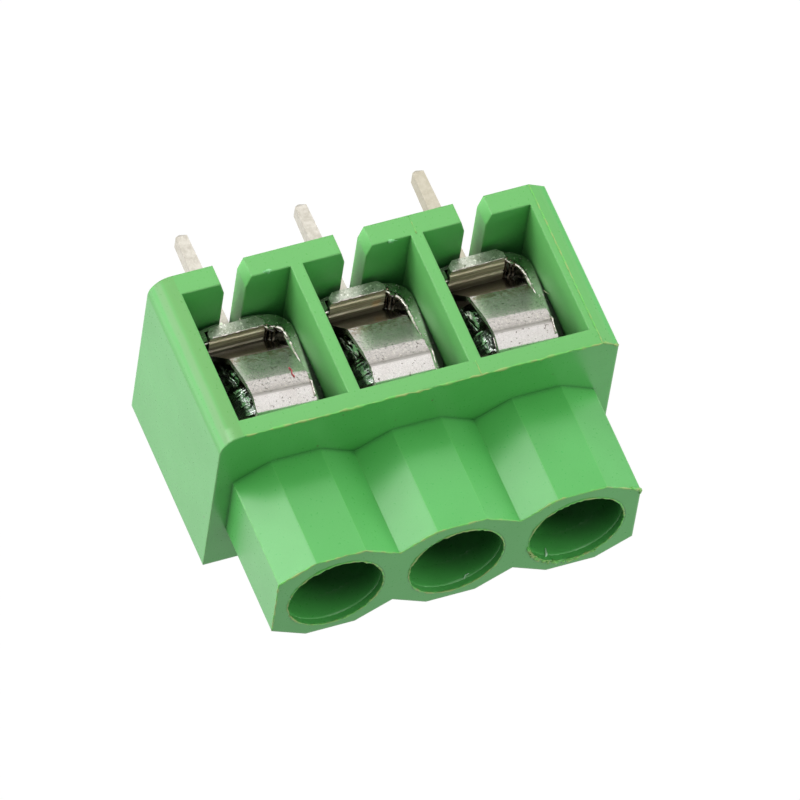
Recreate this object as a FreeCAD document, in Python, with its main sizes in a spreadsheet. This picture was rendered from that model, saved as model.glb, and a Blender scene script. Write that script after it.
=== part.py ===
import FreeCAD, Part
import math
import os
import Sketcher

# A three-pole screw terminal for printed circuit boards: one moulded housing, and in
# each pole a steel cage, a contact with its solder pin, a wire guard and a clamping screw.
#
# Axes: X runs along the row of poles, Y points out of the rear face with its three
# windows, Z points up from the board. Z = 0 is the board, and the solder pins stand
# on the X axis. Places across the row are given as a depth behind the rear face.
# All sizes are in millimetres.

POLES = 3

doc = FreeCAD.newDocument("screw_terminal")


# A size that knows its number, for drawing, and its formula, for binding

class Size:
    """A length or an angle worked out from cells of the sheet."""

    def __init__(self, formula, number):
        self.formula = formula
        self.number = number

    @staticmethod
    def of(thing):
        return thing if isinstance(thing, Size) else Size(repr(float(thing)), float(thing))

    def joined(self, other, sign, number):
        return Size(f"({self.formula} {sign} {other.formula})", number)

    def __add__(self, other):
        other = Size.of(other)
        return self.joined(other, "+", self.number + other.number)

    def __radd__(self, other):
        return Size.of(other) + self

    def __sub__(self, other):
        other = Size.of(other)
        return self.joined(other, "-", self.number - other.number)

    def __rsub__(self, other):
        return Size.of(other) - self

    def __mul__(self, other):
        other = Size.of(other)
        return self.joined(other, "*", self.number * other.number)

    def __rmul__(self, other):
        return Size.of(other) * self

    def __truediv__(self, other):
        other = Size.of(other)
        return self.joined(other, "/", self.number / other.number)

    def __neg__(self):
        return Size(f"(0 - {self.formula})", -self.number)


# The sheet of driving sizes

sheet = doc.addObject("Spreadsheet::Sheet", "sizes")
ALIASES = []


def cell(alias, number):
    """Write one driving size into the sheet and return it."""
    row = len(ALIASES) + 1
    ALIASES.append(alias)
    sheet.set(f"A{row}", alias)
    sheet.set(f"B{row}", str(number))
    sheet.setAlias(f"B{row}", alias)
    return Size(f"sizes.{alias}", float(number))


# housing
pole_pitch = cell("pole_pitch", 5.0)
end_margin = cell("end_margin", 0.75)
body_depth = cell("body_depth", 8.3)
body_height = cell("body_height", 7.9)
edge_radius = cell("edge_radius", 0.9)
end_bevel_width = cell("end_bevel_width", 0.71)
end_bevel_depth = cell("end_bevel_depth", 0.42)
pin_from_rear = cell("pin_from_rear", 4.2)
window_width = cell("window_width", 4.5)
floor_thickness = cell("floor_thickness", 0.93)
roof_thickness = cell("roof_thickness", 0.75)
front_wall = cell("front_wall", 1.1)
lug_gap_outer = cell("lug_gap_outer", 1.28)
lug_gap_inner = cell("lug_gap_inner", 0.9)
lug_lead_in = cell("lug_lead_in", 0.65)
lug_gap_past_pin = cell("lug_gap_past_pin", 0.3)

# towers
tower_height = cell("tower_height", 5.0)
tower_depth = cell("tower_depth", 4.76)
tower_offset = cell("tower_offset", 0.05)
tower_flat = cell("tower_flat", 2.04)
tower_cut = cell("tower_cut", 0.82)
driver_bore = cell("driver_bore", 3.95)
driver_bore_length = cell("driver_bore_length", 2.6)

# wire entries in the front wall
entry_height = cell("entry_height", 3.5)
entry_side_step = cell("entry_side_step", 0.1)
entry_lead_in = cell("entry_lead_in", 0.45)

# cage
cage_side_gap = cell("cage_side_gap", 0.03)
cage_floor_gap = cell("cage_floor_gap", 0.02)
cage_roof_gap = cell("cage_roof_gap", 0.41)
cage_from_rear = cell("cage_from_rear", 2.6)
cage_front_gap = cell("cage_front_gap", 0.5)
strap_thickness = cell("strap_thickness", 0.5)
cage_roof = cell("cage_roof", 1.1)
cage_belly_depth = cell("cage_belly_depth", 0.42)
cage_bottom_radius = cell("cage_bottom_radius", 1.0)
cage_top_radius = cell("cage_top_radius", 1.5)
cage_inner_radius = cell("cage_inner_radius", 0.5)

# contact and solder pin
contact_thickness = cell("contact_thickness", 0.5)
contact_width = cell("contact_width", 2.3)
contact_seat_depth = cell("contact_seat_depth", 0.25)
contact_seat_gap = cell("contact_seat_gap", 0.04)
contact_end_gap = cell("contact_end_gap", 0.2)
contact_corner = cell("contact_corner", 0.22)
groove_pitch = cell("groove_pitch", 0.585)
groove_depth = cell("groove_depth", 0.1)
groove_width = cell("groove_width", 0.16)
pin_width = cell("pin_width", 0.64)
pin_depth = cell("pin_depth", 0.8)
pin_tip_chamfer = cell("pin_tip_chamfer", 0.2)
pin_taper = cell("pin_taper", 0.9)
pin_gap = cell("pin_gap", 0.05)

# wire guard
guard_thickness = cell("guard_thickness", 0.22)
guard_width = cell("guard_width", 2.55)
guard_plate_width = cell("guard_plate_width", 4.0)
guard_gap = cell("guard_gap", 0.02)
guard_bulge_depth = cell("guard_bulge_depth", 0.43)
guard_bulge_drop = cell("guard_bulge_drop", 0.76)
guard_waist_depth = cell("guard_waist_depth", 1.38)
guard_waist_rise = cell("guard_waist_rise", 1.79)
guard_crest_depth = cell("guard_crest_depth", 1.0)
guard_foot_depth = cell("guard_foot_depth", 3.4)
guard_foot_reach = cell("guard_foot_reach", 1.05)
guard_bend_radius = cell("guard_bend_radius", 0.05)

# screw
screw_thread = cell("screw_thread", 2.9)
screw_fit = cell("screw_fit", 0.05)
screw_tip = cell("screw_tip", 2.0)
screw_tip_length = cell("screw_tip_length", 1.3)
screw_tip_chamfer = cell("screw_tip_chamfer", 0.2)
screw_shank_length = cell("screw_shank_length", 4.3)
screw_head_height = cell("screw_head_height", 1.8)
screw_head_gap = cell("screw_head_gap", 0.08)
screw_hole_ledge = cell("screw_hole_ledge", 0.175)
screw_slot_width = cell("screw_slot_width", 0.8)
screw_slot_depth = cell("screw_slot_depth", 0.9)
screw_clear = cell("screw_clear", 0.15)

# What differs from pole to pole: how far the contact sits behind the rear face, how far
# its pin reaches below the board side, and how far the screw is backed off its lowest place
contact_depth_first = cell("contact_depth_first", 2.4)
contact_depth_second = cell("contact_depth_second", 2.12)
contact_depth_third = cell("contact_depth_third", 2.06)
pin_length_first = cell("pin_length_first", 4.38)
pin_length_second = cell("pin_length_second", 4.38)
pin_length_third = cell("pin_length_third", 4.55)
screw_height_first = cell("screw_height_first", 0.0)
screw_height_second = cell("screw_height_second", 0.06)
screw_height_third = cell("screw_height_third", 0.2)
contact_depths = [contact_depth_first, contact_depth_second, contact_depth_third]
pin_lengths = [pin_length_first, pin_length_second, pin_length_third]
screw_heights = [screw_height_first, screw_height_second, screw_height_third]

doc.recompute()


# Sizes that follow from the sheet

def pole_place(pole):
    """X of a pole's middle."""
    return pole_pitch * (pole - (POLES - 1) / 2)


def behind_rear(depth):
    """Y of a place at a depth behind the rear face."""
    return pin_from_rear - depth


body_width = pole_pitch * POLES + end_margin * 2
body_rear = behind_rear(0)
body_front = behind_rear(body_depth)
cavity_depth = body_depth - front_wall
cavity_top = body_height - roof_thickness
terminal_height = body_height + tower_height
head_bore = driver_bore - screw_hole_ledge * 2

cage_width = window_width - cage_side_gap * 2
cage_bottom = floor_thickness + cage_floor_gap
cage_top = cavity_top - cage_roof_gap - guard_thickness - guard_gap
cage_depth = cavity_depth - cage_from_rear - cage_front_gap
screw_from_rear = cage_from_rear + cage_depth / 2
screw_line = behind_rear(screw_from_rear)
tower_from_rear = screw_from_rear - tower_offset - tower_depth / 2
cage_floor = cage_bottom + strap_thickness
contact_bottom = cage_floor - contact_seat_depth
contact_top = contact_bottom + contact_thickness
guard_top = cage_top + guard_gap + guard_thickness
guard_foot_bottom = contact_top + guard_gap
guard_bulge_height = guard_top - guard_bulge_drop
guard_waist_height = guard_foot_bottom + guard_waist_rise
guard_foot_end = screw_from_rear + guard_foot_reach
contact_back = cage_from_rear + cage_depth - contact_end_gap
thread_bore = screw_thread + screw_fit * 2
head_diameter = head_bore - screw_head_gap * 2


# Helpers for documents of bodies and sketches

def bind(thing, path, size):
    """Tie one property to the sheet."""
    thing.setExpression(path, Size.of(size).formula)


def new_body(label):
    body = doc.addObject("PartDesign::Body", label)
    body.Label = label
    return body


def new_sketch(body, name, role, height=None):
    """A sketch on one of the body's own planes, raised along the plane's normal."""
    sketch = body.newObject("Sketcher::SketchObject", name)
    plane = [f for f in body.Origin.OriginFeatures if f.Role == role][0]
    sketch.AttachmentSupport = [(plane, "")]
    sketch.MapMode = "FlatFace"
    if height is not None:
        bind(sketch, "AttachmentOffset.Base.z", height)
    return sketch


def fix(sketch, kind, geometry, point, size):
    """Hold a point's distance from the sketch's origin."""
    size = Size.of(size)
    number = sketch.addConstraint(
        Sketcher.Constraint(kind, -1, 1, geometry, point, size.number))
    sketch.setExpression(f"Constraints[{number}]", size.formula)


def fix_radius(sketch, geometry, size):
    size = Size.of(size)
    number = sketch.addConstraint(Sketcher.Constraint("Radius", geometry, size.number))
    sketch.setExpression(f"Constraints[{number}]", size.formula)


def outline(sketch, corners):
    """A closed outline of straight lines through corners given as pairs of sizes."""
    corners = [(Size.of(x), Size.of(y)) for x, y in corners]
    first = sketch.GeometryCount
    count = len(corners)
    for index in range(count):
        x0, y0 = corners[index]
        x1, y1 = corners[(index + 1) % count]
        start = FreeCAD.Vector(x0.number, y0.number, 0)
        end = FreeCAD.Vector(x1.number, y1.number, 0)
        sketch.addGeometry(Part.LineSegment(start, end), False)
    for index in range(count):
        this = first + index
        following = first + (index + 1) % count
        sketch.addConstraint(Sketcher.Constraint("Coincident", this, 2, following, 1))
    for index in range(count):
        x, y = corners[index]
        fix(sketch, "DistanceX", first + index, 1, x)
        fix(sketch, "DistanceY", first + index, 1, y)
    return first


def rectangle(sketch, left, right, bottom, top):
    return outline(sketch, [(left, bottom), (right, bottom), (right, top), (left, top)])


def circle(sketch, x, y, diameter):
    centre = FreeCAD.Vector(Size.of(x).number, Size.of(y).number, 0)
    number = sketch.addGeometry(
        Part.Circle(centre, FreeCAD.Vector(0, 0, 1), Size.of(diameter).number / 2), False)
    fix(sketch, "DistanceX", number, 3, x)
    fix(sketch, "DistanceY", number, 3, y)
    fix_radius(sketch, number, diameter / 2)
    return number


def feature(body, kind, name, sketch, length=None, reverse=False):
    """A pad or a pocket of a sketch."""
    made = body.newObject("PartDesign::" + kind, name)
    made.Profile = sketch
    if length is not None:
        bind(made, "Length", length)
    made.Reversed = reverse
    sketch.Visibility = False
    return made


def checked_cut(body, kind, name, sketch, length):
    """A pocket that takes material away: turned round if it ran the wrong way."""
    doc.recompute()
    before = body.Shape.Volume
    made = feature(body, kind, name, sketch, length)
    doc.recompute()
    if abs(body.Shape.Volume - before) < 1e-6:
        made.Reversed = True
        doc.recompute()
    return made


def edges_where(shape, test):
    """Names of the straight edges whose two ends pass a test."""
    names = []
    for index, edge in enumerate(shape.Edges):
        if len(edge.Vertexes) != 2:
            continue
        ends = [vertex.Point for vertex in edge.Vertexes]
        if test(ends[0], ends[1]):
            names.append(f"Edge{index + 1}")
    return names


def near(a, b):
    return abs(a - b) < 1e-4


def dress(body, kind, name, edges, size):
    """A fillet or a chamfer on named edges of the body's latest feature."""
    base = body.Tip
    made = body.newObject("PartDesign::" + kind, name)
    made.Base = (base, edges)
    bind(made, "Radius" if kind == "Fillet" else "Size", size)
    doc.recompute()
    return made


# Housing: one moulding with three cavities open at the rear

def tower_outline():
    """Corners of the row of joined eight-sided towers, anticlockwise from the front left."""
    half_flat = tower_flat / 2
    rear = behind_rear(tower_from_rear)
    front = rear - tower_depth
    corners = []
    for pole in range(POLES):
        middle = pole_place(pole)
        corners.append((middle - pole_pitch / 2, front + tower_cut))
        corners.append((middle - half_flat, front))
        corners.append((middle + half_flat, front))
    corners.append((pole_place(POLES - 1) + pole_pitch / 2, front + tower_cut))
    for pole in reversed(range(POLES)):
        middle = pole_place(pole)
        corners.append((middle + pole_pitch / 2, rear - tower_cut))
        corners.append((middle + half_flat, rear))
        corners.append((middle - half_flat, rear))
    corners.append((pole_place(0) - pole_pitch / 2, rear - tower_cut))
    return corners


def make_housing():
    body = new_body("housing")
    block = new_sketch(body, "housing_block_sketch", "XY_Plane")
    half_width = body_width / 2
    outline(block, [(-half_width, body_front), (half_width, body_front),
                    (half_width, body_rear - end_bevel_depth),
                    (half_width - end_bevel_width, body_rear), (-half_width, body_rear)])
    feature(body, "Pad", "housing_block", block, body_height)
    doc.recompute()
    rear_edge = edges_where(body.Shape, lambda a, b: near(a.x, b.x) and near(a.y, b.y)
                            and near(a.y, body_rear.number) and a.x < 0
                            and near(a.x, -half_width.number))
    dress(body, "Fillet", "housing_rear_edge", rear_edge, edge_radius)

    towers = new_sketch(body, "housing_tower_sketch", "XY_Plane", body_height)
    outline(towers, tower_outline())
    feature(body, "Pad", "housing_towers", towers, tower_height)

    windows = new_sketch(body, "housing_window_sketch", "XZ_Plane", -body_rear)
    for pole in range(POLES):
        middle = pole_place(pole)
        rectangle(windows, middle - window_width / 2, middle + window_width / 2,
                  floor_thickness, cavity_top)
    checked_cut(body, "Pocket", "housing_windows", windows, cavity_depth)

    bores = new_sketch(body, "housing_bore_sketch", "XY_Plane", terminal_height)
    for pole in range(POLES):
        circle(bores, pole_place(pole), screw_line, head_bore)
    checked_cut(body, "Pocket", "housing_bores", bores, terminal_height - cavity_top)

    mouths = new_sketch(body, "housing_mouth_sketch", "XY_Plane", terminal_height)
    for pole in range(POLES):
        circle(mouths, pole_place(pole), screw_line, driver_bore)
    checked_cut(body, "Pocket", "housing_mouths", mouths, driver_bore_length)

    gaps = new_sketch(body, "housing_lug_gap_sketch", "XY_Plane")
    gap_end = -pin_depth / 2 - lug_gap_past_pin
    for pole in range(POLES):
        middle = pole_place(pole)
        outer = lug_gap_outer / 2
        inner = lug_gap_inner / 2
        neck = body_rear - lug_lead_in
        outline(gaps, [(middle - outer, body_rear), (middle - inner, neck),
                       (middle - inner, gap_end), (middle + inner, gap_end),
                       (middle + inner, neck), (middle + outer, body_rear)])
    checked_cut(body, "Pocket", "housing_lug_gaps", gaps, floor_thickness)

    entries = new_sketch(body, "housing_entry_sketch", "XZ_Plane", -body_front)
    entry_half = cage_width / 2 - strap_thickness - entry_side_step
    for pole in range(POLES):
        middle = pole_place(pole)
        rectangle(entries, middle - entry_half, middle + entry_half,
                  contact_top + entry_side_step, contact_top + entry_side_step + entry_height)
    checked_cut(body, "Pocket", "housing_entries", entries, front_wall)
    rims = edges_where(body.Shape, lambda a, b: near(a.y, body_front.number)
                       and near(b.y, body_front.number)
                       and contact_top.number < min(a.z, b.z)
                       and max(a.z, b.z) < cavity_top.number
                       and abs(a.x) < body_width.number / 2 - end_margin.number
                       and abs(b.x) < body_width.number / 2 - end_margin.number)
    dress(body, "Chamfer", "housing_entry_funnels", rims, entry_lead_in)
    return body


# Cage: a steel strap folded into a closed box round the wire, threaded in its roof

def belly_wire(sketch, half_width, bottom, belly, top):
    """A box outline whose lower side is an arc bowed downwards by the belly."""
    half_width = Size.of(half_width)
    corner = bottom + belly
    radius = (half_width * half_width + belly * belly) / (belly * 2)
    centre_z = bottom.number + radius.number
    reach = math.asin(half_width.number / radius.number)
    arc = sketch.addGeometry(Part.ArcOfCircle(
        Part.Circle(FreeCAD.Vector(0, centre_z, 0), FreeCAD.Vector(0, 0, 1), radius.number),
        -math.pi / 2 - reach, -math.pi / 2 + reach), False)
    left = FreeCAD.Vector(-half_width.number, corner.number, 0)
    right = FreeCAD.Vector(half_width.number, corner.number, 0)
    top_left = FreeCAD.Vector(-half_width.number, top.number, 0)
    top_right = FreeCAD.Vector(half_width.number, top.number, 0)
    rise = sketch.addGeometry(Part.LineSegment(right, top_right), False)
    roof = sketch.addGeometry(Part.LineSegment(top_right, top_left), False)
    fall = sketch.addGeometry(Part.LineSegment(top_left, left), False)
    for this, end, following, start in ((arc, 2, rise, 1), (rise, 2, roof, 1),
                                        (roof, 2, fall, 1), (fall, 2, arc, 1)):
        sketch.addConstraint(Sketcher.Constraint("Coincident", this, end, following, start))
    fix(sketch, "DistanceX", rise, 1, half_width)
    fix(sketch, "DistanceY", rise, 1, corner)
    fix(sketch, "DistanceX", fall, 2, -half_width)
    fix(sketch, "DistanceY", fall, 2, corner)
    fix(sketch, "DistanceX", roof, 1, half_width)
    fix(sketch, "DistanceY", roof, 1, top)
    fix(sketch, "DistanceX", roof, 2, -half_width)
    fix(sketch, "DistanceY", roof, 2, top)
    fix_radius(sketch, arc, radius)


def place_at_pole(body, pole):
    bind(body, "Placement.Base.x", pole_place(pole))


def make_cage(pole):
    body = new_body(f"cage_{pole + 1}")
    rear = behind_rear(cage_from_rear)
    half = cage_width / 2
    shell = new_sketch(body, f"cage_{pole + 1}_outer", "XZ_Plane", -rear)
    belly_wire(shell, half, cage_bottom, cage_belly_depth, cage_top)
    feature(body, "Pad", f"cage_{pole + 1}_block", shell, cage_depth)
    doc.recompute()
    along_y = lambda a, b: near(a.x, b.x) and near(a.z, b.z)
    low = edges_where(body.Shape, lambda a, b: along_y(a, b) and a.z < cage_top.number / 2)
    dress(body, "Fillet", f"cage_{pole + 1}_low_bends", low, cage_bottom_radius)
    high = edges_where(body.Shape, lambda a, b: along_y(a, b) and near(a.z, cage_top.number)
                       and near(abs(a.x), half.number))
    dress(body, "Fillet", f"cage_{pole + 1}_high_bends", high, cage_top_radius)

    room = new_sketch(body, f"cage_{pole + 1}_inner", "XZ_Plane", -rear)
    inner_half = half - strap_thickness
    belly_inside = cage_belly_depth * inner_half / half
    belly_wire(room, inner_half, cage_floor, belly_inside, cage_top - cage_roof)
    checked_cut(body, "Pocket", f"cage_{pole + 1}_room", room, cage_depth)
    inner = edges_where(body.Shape, lambda a, b: along_y(a, b) and near(abs(a.x), inner_half.number))
    dress(body, "Fillet", f"cage_{pole + 1}_inner_bends", inner, cage_inner_radius)

    seat = new_sketch(body, f"cage_{pole + 1}_seat_sketch", "XZ_Plane", -rear)
    seat_half = contact_width / 2 + contact_seat_gap
    rectangle(seat, -seat_half, seat_half, contact_bottom, contact_top)
    checked_cut(body, "Pocket", f"cage_{pole + 1}_seat", seat, cage_depth)

    notch = new_sketch(body, f"cage_{pole + 1}_notch_sketch", "XY_Plane")
    notch_half = pin_width / 2 + pin_gap
    rectangle(notch, -notch_half, notch_half, -pin_depth / 2 - pin_gap, rear)
    checked_cut(body, "Pocket", f"cage_{pole + 1}_notch", notch, cage_floor + cage_belly_depth)

    bore = new_sketch(body, f"cage_{pole + 1}_bore_sketch", "XY_Plane", cage_top)
    circle(bore, 0, screw_line, thread_bore)
    checked_cut(body, "Pocket", f"cage_{pole + 1}_bore", bore, cage_roof + cage_inner_radius)
    place_at_pole(body, pole)
    return body


# Contact: a grooved plate in the cage's floor, with the solder pin below it

def make_contact(pole):
    name = f"contact_pin_{pole + 1}"
    body = new_body(name)
    front_edge = behind_rear(contact_depths[pole])
    back_edge = behind_rear(contact_back)
    pin_length = pin_lengths[pole]
    half = contact_width / 2

    face = new_sketch(body, name + "_plate_sketch", "XZ_Plane", -front_edge)
    outline(face, [(-half + contact_corner, contact_bottom), (half - contact_corner, contact_bottom),
                   (half, contact_bottom + contact_corner), (half, contact_top),
                   (-half, contact_top), (-half, contact_bottom + contact_corner)])
    feature(body, "Pad", name + "_plate", face, front_edge - back_edge)

    stem = new_sketch(body, name + "_stem_sketch", "XY_Plane", contact_bottom)
    rectangle(stem, -pin_width / 2, pin_width / 2, -pin_depth / 2, pin_depth / 2)
    pin = feature(body, "Pad", name + "_stem", stem, contact_bottom + pin_length, reverse=True)
    pin.TaperAngle = -pin_taper.number
    bind(pin, "TaperAngle", -pin_taper)
    doc.recompute()
    tip = edges_where(body.Shape, lambda a, b: near(a.z, -pin_length.number)
                      and near(b.z, -pin_length.number))
    dress(body, "Chamfer", name + "_tip", tip, pin_tip_chamfer)

    grooves = new_sketch(body, name + "_groove_sketch", "YZ_Plane", -half)
    count = 6
    for index in range(count):
        middle = front_edge - groove_pitch * (index + 0.5)
        outline(grooves, [(middle - groove_width / 2, contact_top),
                          (middle, contact_top - groove_depth),
                          (middle + groove_width / 2, contact_top)])
    checked_cut(body, "Pocket", name + "_grooves", grooves, contact_width)
    place_at_pole(body, pole)
    return body


# Wire guard: a thin leaf that lies on the cage, hangs down behind it and turns in below the screw

def make_guard(pole):
    name = f"wire_guard_{pole + 1}"
    body = new_body(name)
    plate_front = behind_rear(cage_from_rear + cage_depth)
    crest = behind_rear(guard_crest_depth)
    skin = [(plate_front, guard_top), (crest, guard_top),
            (behind_rear(guard_bulge_depth), guard_bulge_height),
            (behind_rear(guard_waist_depth), guard_waist_height),
            (behind_rear(guard_foot_depth), guard_foot_bottom),
            (behind_rear(guard_foot_end), guard_foot_bottom)]
    leaf = new_sketch(body, name + "_leaf_sketch", "YZ_Plane", -guard_width / 2)
    bends = strip(leaf, skin, guard_thickness)
    feature(body, "Pad", name + "_leaf", leaf, guard_width)
    doc.recompute()
    for label, corners, radius in bends:
        round_bend(body, f"{name}_{label}", corners, radius)

    plate = new_sketch(body, name + "_plate_sketch", "XY_Plane", cage_top + guard_gap)
    half = guard_plate_width / 2
    rectangle(plate, -half, half, plate_front, behind_rear(cage_from_rear))
    feature(body, "Pad", name + "_plate", plate, guard_thickness)
    doc.recompute()

    hole = new_sketch(body, name + "_hole_sketch", "XY_Plane", guard_top)
    circle(hole, 0, screw_line, screw_thread + screw_clear * 2)
    checked_cut(body, "Pocket", name + "_hole", hole, guard_thickness)
    place_at_pole(body, pole)
    return body


def round_bend(body, name, corners, radius):
    """Round the edges of a bent strip that run across it through the given corners."""
    here = lambda point: any(near(point.y, corner.x) and near(point.z, corner.y)
                             for corner in corners)
    edges = edges_where(body.Shape, lambda a, b: here(a) and here(b) and not near(a.x, b.x))
    dress(body, "Fillet", name, edges, radius)


def strip(sketch, skin, thickness):
    """A band of even thickness: the skin's corners are placed, the inside runs parallel to it.
    Returns the corners on the inner and on the outer side of its bends, with their radii."""
    points = [FreeCAD.Vector(Size.of(y).number, Size.of(z).number, 0) for y, z in skin]
    count = len(points)
    directions = [(points[i + 1] - points[i]).normalize() for i in range(count - 1)]
    inside = []
    for index, point in enumerate(points):
        before = directions[max(index - 1, 0)]
        after = directions[min(index, count - 2)]
        middle = (before + after).normalize()
        side = FreeCAD.Vector(middle.y, -middle.x, 0)
        stretch = thickness.number / max(middle.dot(before), 0.1)
        inside.append(point + side * stretch)
    outer = [sketch.addGeometry(Part.LineSegment(points[i], points[i + 1]), False)
             for i in range(count - 1)]
    inner = [sketch.addGeometry(Part.LineSegment(inside[i], inside[i + 1]), False)
             for i in range(count - 1)]
    start = sketch.addGeometry(Part.LineSegment(points[0], inside[0]), False)
    end = sketch.addGeometry(Part.LineSegment(points[-1], inside[-1]), False)
    add = lambda *what: sketch.addConstraint(Sketcher.Constraint(*what))
    for i in range(count - 2):
        add("Coincident", outer[i], 2, outer[i + 1], 1)
        add("Coincident", inner[i], 2, inner[i + 1], 1)
    add("Coincident", start, 1, outer[0], 1)
    add("Coincident", start, 2, inner[0], 1)
    add("Coincident", end, 1, outer[-1], 2)
    add("Coincident", end, 2, inner[-1], 2)
    for i in range(count):
        line, point = (outer[i], 1) if i < count - 1 else (outer[-1], 2)
        fix(sketch, "DistanceX", line, point, skin[i][0])
        fix(sketch, "DistanceY", line, point, skin[i][1])
    for i in range(count - 1):
        add("Parallel", outer[i], inner[i])
        number = sketch.addConstraint(
            Sketcher.Constraint("Distance", outer[i], 1, inner[i], thickness.number))
        sketch.setExpression(f"Constraints[{number}]", thickness.formula)
    add("Perpendicular", start, outer[0])
    add("Perpendicular", end, outer[-1])
    tight = []
    wide = []
    for i in range(1, count - 1):
        turn = directions[i - 1].cross(directions[i]).z
        tight.append(inside[i] if turn < 0 else points[i])
        wide.append(points[i] if turn < 0 else inside[i])
    return [("tight_bends", tight, guard_bend_radius),
            ("wide_bends", wide, guard_bend_radius + thickness)]


# Screw: a turned pin point, a shank and a slotted head

def make_screw(pole):
    name = f"screw_{pole + 1}"
    body = new_body(name)
    tip = screw_tip + screw_heights[pole]
    neck = tip + screw_tip_length
    shoulder = neck + screw_shank_length
    crown = shoulder + screw_head_height
    root = screw_thread / 2 - screw_tip_chamfer * 2
    profile = new_sketch(body, name + "_profile", "XZ_Plane", -screw_line)
    outline(profile, [(0, tip), (root - screw_tip_chamfer, tip), (root, tip + screw_tip_chamfer),
                      (root, neck), (screw_thread / 2, neck + screw_tip_chamfer),
                      (screw_thread / 2, shoulder), (head_diameter / 2, shoulder),
                      (head_diameter / 2, crown - screw_tip_chamfer),
                      (head_diameter / 2 - screw_tip_chamfer, crown), (0, crown)])
    turned = body.newObject("PartDesign::Revolution", name + "_turned")
    turned.Profile = profile
    turned.ReferenceAxis = (profile, ["V_Axis"])
    turned.Angle = 360
    doc.recompute()

    slot = new_sketch(body, name + "_slot_sketch", "XY_Plane", crown)
    half_slot = screw_slot_width / 2
    rectangle(slot, -head_diameter / 2, head_diameter / 2,
              screw_line - half_slot, screw_line + half_slot)
    checked_cut(body, "Pocket", name + "_slot", slot, screw_slot_depth)
    place_at_pole(body, pole)
    return body


# Build, check and write

bodies = [make_housing()]
for pole in range(POLES):
    bodies.append(make_cage(pole))
    bodies.append(make_contact(pole))
    bodies.append(make_guard(pole))
    bodies.append(make_screw(pole))
doc.recompute()

faults = [f"{thing.Label}: {', '.join(thing.State)}" for thing in doc.Objects
          if "Invalid" in thing.State or "Error" in thing.State]
for body in bodies:
    if body.Shape.isNull() or not body.Shape.isValid() or len(body.Shape.Solids) != 1:
        faults.append(f"{body.Label}: the shape is not one sound solid")
if faults:
    raise RuntimeError("; ".join(faults))

os.makedirs("parts", exist_ok=True)
for body in bodies:
    body.Shape.exportStep(f"parts/{body.Label}.step")
    box = body.Shape.BoundBox
    print(f"{body.Label}: {box.XLength:.2f} x {box.YLength:.2f} x {box.ZLength:.2f} mm, "
          f"{body.Shape.Volume:.2f} mm3")
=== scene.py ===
# %% [markdown]
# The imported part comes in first: one green moulding and, in each of its three poles, a
# steel cage, a tinned contact with its solder pin, a wire guard and a screw. Everything
# below is dressed around these solids, in metres and in the part's own axes: X runs along
# the row, Y points out of the face with the three windows, Z points up through the towers.
# Places that many pieces share are named once, in millimetres.

# %% Load the part
import math
import random

import bmesh
import bpy
from mathutils import Matrix, Vector


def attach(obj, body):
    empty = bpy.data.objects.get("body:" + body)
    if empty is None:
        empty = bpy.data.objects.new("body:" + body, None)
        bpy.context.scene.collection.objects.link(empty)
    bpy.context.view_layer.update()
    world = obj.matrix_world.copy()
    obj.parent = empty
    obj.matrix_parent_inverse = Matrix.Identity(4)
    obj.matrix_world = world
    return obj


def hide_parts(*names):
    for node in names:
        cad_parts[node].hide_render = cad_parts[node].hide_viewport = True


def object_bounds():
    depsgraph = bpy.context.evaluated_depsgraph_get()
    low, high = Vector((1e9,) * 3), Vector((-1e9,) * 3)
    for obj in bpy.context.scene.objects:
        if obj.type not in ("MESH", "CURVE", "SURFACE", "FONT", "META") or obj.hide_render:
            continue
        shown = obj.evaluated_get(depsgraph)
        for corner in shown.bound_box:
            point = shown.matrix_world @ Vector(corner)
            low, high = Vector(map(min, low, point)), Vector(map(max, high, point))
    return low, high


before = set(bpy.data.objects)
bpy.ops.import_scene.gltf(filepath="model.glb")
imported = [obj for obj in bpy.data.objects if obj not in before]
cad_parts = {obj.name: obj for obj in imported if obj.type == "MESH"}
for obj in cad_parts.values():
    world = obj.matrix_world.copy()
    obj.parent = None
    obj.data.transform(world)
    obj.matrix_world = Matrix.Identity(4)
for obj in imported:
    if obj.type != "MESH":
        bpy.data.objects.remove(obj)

MM = 0.001
POLES = (1, 2, 3)
part_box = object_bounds()
low_corner, high_corner = part_box
print("part size in mm:", [round(length / MM, 2) for length in high_corner - low_corner])

# %% Places on the part
PITCH = 5.0
REAR = round(high_corner.y / MM, 3)
TOP = 7.9
TOWER_TOP = round(high_corner.z / MM, 3)
TOWER_SIDE = 7.5
SCREW_LINE = -0.45
BORE = 1.975


def pole_place(pole):
    """X of a pole's middle."""
    return PITCH * (pole - 2)


print("rear face at", REAR, "towers' top at", TOWER_TOP, "poles at", [pole_place(p) for p in POLES])

# %% [markdown]
# The camera looks down on the window side from the towers' end, as the photograph does.
# It could be placed by eye, but a pinhole camera was fitted to some seventy corners
# read from the photograph, so its direction, its roll and its lens are known. The lens
# is long, because the photograph shows almost no perspective.

# %% Camera
LOOK_AT = Vector((0.0, -0.3, 6.0)) * MM
TO_RIGHT = Vector((0.9284863, 0.09667098, 0.35856368))
TO_BOTTOM = Vector((-0.24232509, -0.57393325, 0.78222706))
INTO_PICTURE = Vector((0.28141028, -0.81317608, -0.50946336))
OFF_CENTRE = (0.2885 * MM, -0.7230 * MM)
CAMERA_DISTANCE = 584.63 * MM
LENS = 679.2

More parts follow.
